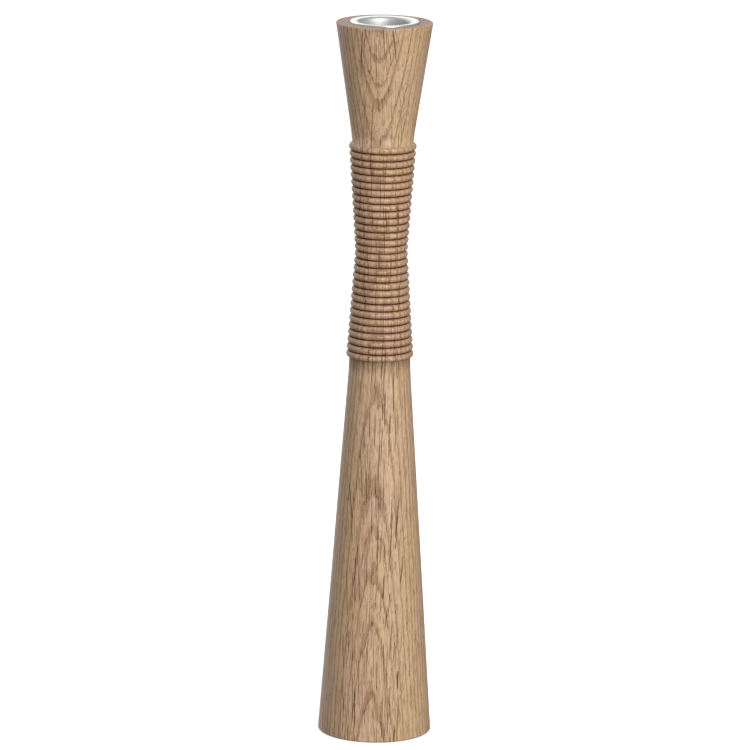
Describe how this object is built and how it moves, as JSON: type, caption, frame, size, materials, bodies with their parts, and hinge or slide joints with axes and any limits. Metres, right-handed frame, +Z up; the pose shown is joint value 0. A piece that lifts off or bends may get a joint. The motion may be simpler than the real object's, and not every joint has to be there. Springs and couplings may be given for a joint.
{
  "type": "candlestick",
  "caption": "Slender turned oak candlestick: cone foot, waisted grip of half-round beads, flared head with a flanged metal cup for one dinner candle.",
  "frame": {"origin": "centre of the felt pad's underside, on the table", "axes": "+Z up along the turning axis; the object is round, so X and Y are interchangeable, and the oak's flat-sawn face looks towards -Y"},
  "size_m": [0.0502, 0.0502, 0.3205],
  "materials": {
    "oak": "matt, lightly oiled oak with an open grain, darker in the grooves between the beads",
    "cup_metal": "spun aluminium, satin, with fine turning lines",
    "weight_steel": "sawn and turned mild steel",
    "screw_steel": "zinc-plated steel",
    "felt": "dense dark brown wool felt"
  },
  "bodies": {
    "column": {"oak_column": "oak", "base_weight": "weight_steel", "weight_screw": "screw_steel", "felt_pad": "felt"},
    "cup": {"candle_cup": "cup_metal"}
  },
  "joints": [
    {"name": "cup_lift", "type": "slide", "parent": "column", "child": "cup", "axis": [0, 0, 1], "range_m": [0, 0.03]}
  ]
}
